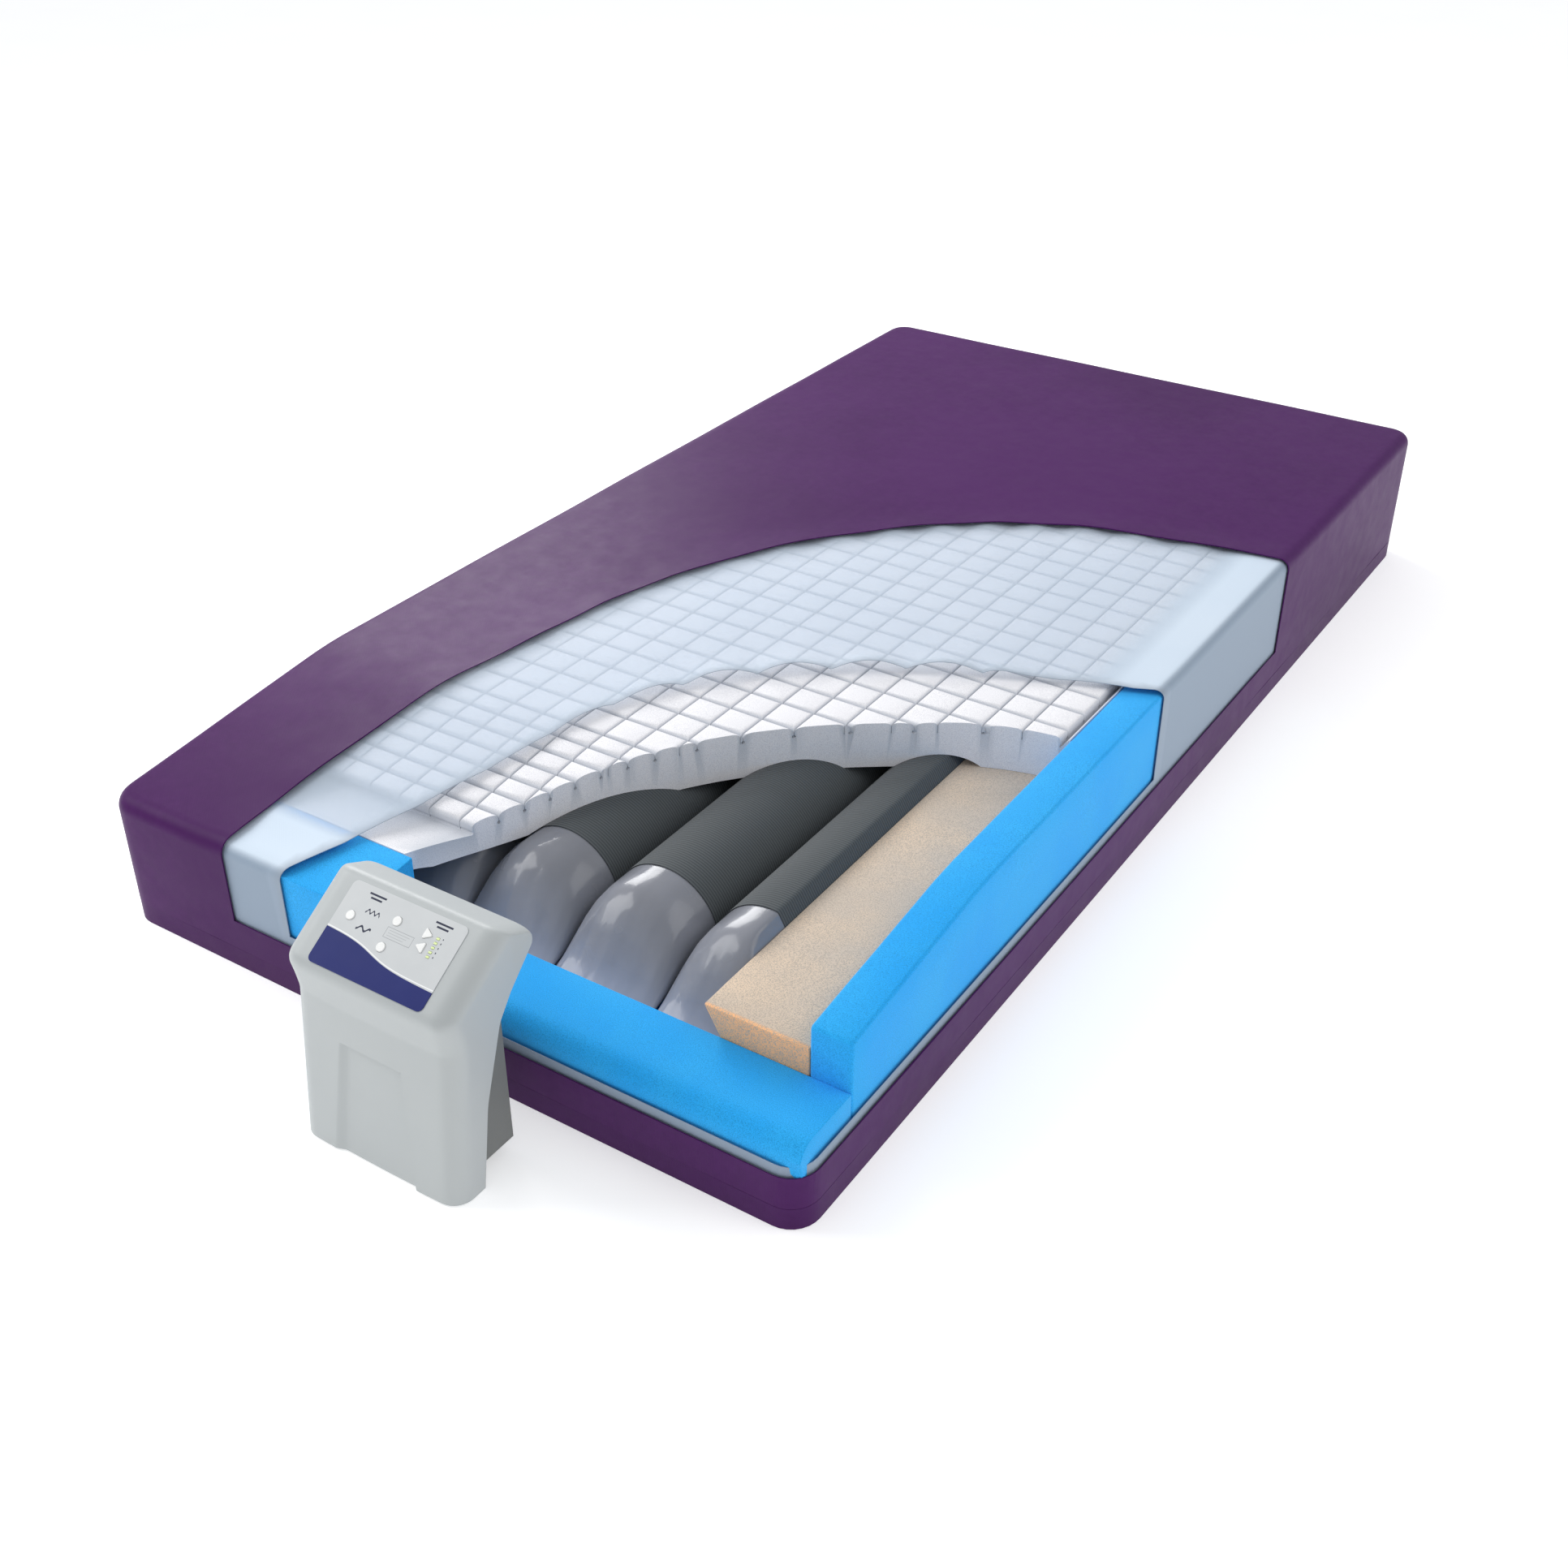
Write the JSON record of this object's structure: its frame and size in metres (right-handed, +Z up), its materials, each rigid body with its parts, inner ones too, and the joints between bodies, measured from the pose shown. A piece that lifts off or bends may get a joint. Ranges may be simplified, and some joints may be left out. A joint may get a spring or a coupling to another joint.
{
  "type": "pressure relief mattress",
  "caption": "Layered hospital mattress with air cylinders in a foam crib, die-cut topper and stretch cover, opened at the foot, with its air control unit.",
  "frame": {"origin": "centre of the mattress's underside, on the surface it lies on", "axes": "+X across to the right side, +Y to the head end, +Z up"},
  "size_m": [1.0833, 2.206, 0.3147],
  "materials": {
    "cover_fabric": "satin",
    "base_fabric": "satin",
    "liner_fabric": "matte",
    "topper_foam": "matte",
    "blue_foam": "matte",
    "tan_foam": "matte",
    "base_foam": "matte",
    "air_film": "gloss",
    "sleeve_knit": "matte",
    "clear_tube": "satin",
    "port_plastic": "satin",
    "zip_tape": "matte",
    "zip_metal": "satin",
    "unit_plastic": "satin",
    "back_plastic": "satin",
    "label": "satin",
    "button_plastic": "gloss",
    "lamp": "gloss",
    "board": "satin",
    "switch_plastic": "satin",
    "tray_steel": "satin",
    "compressor_metal": "satin",
    "rubber": "matte",
    "pin_brass": "polished",
    "rocker_plastic": "gloss"
  },
  "bodies": {
    "mattress": {"cover_top": "cover_fabric", "cover_base": "base_fabric", "liner": "liner_fabric", "topper_foam": "topper_foam", "bolster_left": "blue_foam", "bolster_right": "blue_foam", "foot_rail": "blue_foam", "head_rail": "blue_foam", "wedge_left": "tan_foam", "wedge_right": "tan_foam", "base_foam": "base_foam", "bladder_1": "air_film", "bladder_2": "air_film", "bladder_3": "air_film", "bladder_4": "air_film", "bladder_5": "air_film", "sleeve_1": "sleeve_knit", "sleeve_2": "sleeve_knit", "sleeve_3": "sleeve_knit", "sleeve_4": "sleeve_knit", "sleeve_5": "sleeve_knit", "air_header_a": "clear_tube", "air_header_b": "clear_tube", "air_port_plate": "port_plastic", "zip_tape": "zip_tape"},
    "control_unit": {"front_shell": "unit_plastic", "back_shell": "back_plastic", "label_panel": "label", "level_leds": "lamp", "circuit_board": "board", "tact_switches": "switch_plastic", "chassis_tray": "tray_steel", "compressor": "compressor_metal", "compressor_mounts": "rubber", "valve_block": "switch_plastic", "valve_motor": "tray_steel", "air_tubes": "clear_tube", "air_outlets": "port_plastic", "mains_inlet": "back_plastic", "inlet_pins": "pin_brass", "switch_frame": "back_plastic", "filter_cap": "back_plastic", "hook_pins": "tray_steel", "housing_screws": "tray_steel", "rubber_feet": "rubber"},
    "alternate_button": {"alternate_button": "button_plastic"},
    "static_button": {"static_button": "button_plastic"},
    "lockout_button": {"lockout_button": "button_plastic"},
    "firmer_button": {"firmer_button": "button_plastic"},
    "softer_button": {"softer_button": "button_plastic"},
    "power_rocker": {"power_rocker": "rocker_plastic"},
    "hook_left": {"hook_left": "tray_steel"},
    "hook_right": {"hook_right": "tray_steel"},
    "valve_rotor": {"valve_rotor": "switch_plastic"},
    "zip_slider": {"zip_slider": "zip_metal"},
    "zip_pull": {"zip_pull": "zip_metal"}
  },
  "joints": [
    {"name": "unit_lift", "type": "slide", "parent": "mattress", "child": "control_unit", "axis": [0, 0, 1], "range_m": [0, 0.3]},
    {"name": "zip_slide", "type": "slide", "parent": "mattress", "child": "zip_slider", "axis": [0, -1, 0], "range_m": [0, 1.66]},
    {"name": "zip_pull_swing", "type": "hinge", "parent": "zip_slider", "child": "zip_pull", "pos_m": [-0.539, 0.935, 0.0327], "axis": [0, 1, 0], "range_deg": [0, 160]},
    {"name": "power_rocker_tilt", "type": "hinge", "parent": "control_unit", "child": "power_rocker", "pos_m": [0.11, -1.081, 0.052], "axis": [1, 0, 0], "range_deg": [0, 14]},
    {"name": "hook_left_swing", "type": "hinge", "parent": "control_unit", "child": "hook_left", "pos_m": [0.02, -1.07, 0.204], "axis": [1, 0, 0], "range_deg": [0, 90]},
    {"name": "hook_right_swing", "type": "hinge", "parent": "control_unit", "child": "hook_right", "pos_m": [0.14, -1.07, 0.204], "axis": [1, 0, 0], "range_deg": [0, 90]},
    {"name": "valve_rotor_spin", "type": "hinge", "parent": "control_unit", "child": "valve_rotor", "pos_m": [0.01, -1.11, 0.063], "axis": [0, 0, 1], "continuous": true},
    {"name": "alternate_button_press", "type": "slide", "parent": "control_unit", "child": "alternate_button", "axis": [0, 0.5391, -0.8423], "range_m": [0, 0.0008], "stiffness_N_per_m": 600},
    {"name": "static_button_press", "type": "slide", "parent": "control_unit", "child": "static_button", "axis": [0, 0.5391, -0.8423], "range_m": [0, 0.0008], "stiffness_N_per_m": 600},
    {"name": "lockout_button_press", "type": "slide", "parent": "control_unit", "child": "lockout_button", "axis": [0, 0.5391, -0.8423], "range_m": [0, 0.0008], "stiffness_N_per_m": 600},
    {"name": "firmer_button_press", "type": "slide", "parent": "control_unit", "child": "firmer_button", "axis": [0, 0.5391, -0.8423], "range_m": [0, 0.0008], "stiffness_N_per_m": 600},
    {"name": "softer_button_press", "type": "slide", "parent": "control_unit", "child": "softer_button", "axis": [0, 0.5391, -0.8423], "range_m": [0, 0.0008], "stiffness_N_per_m": 600}
  ]
}
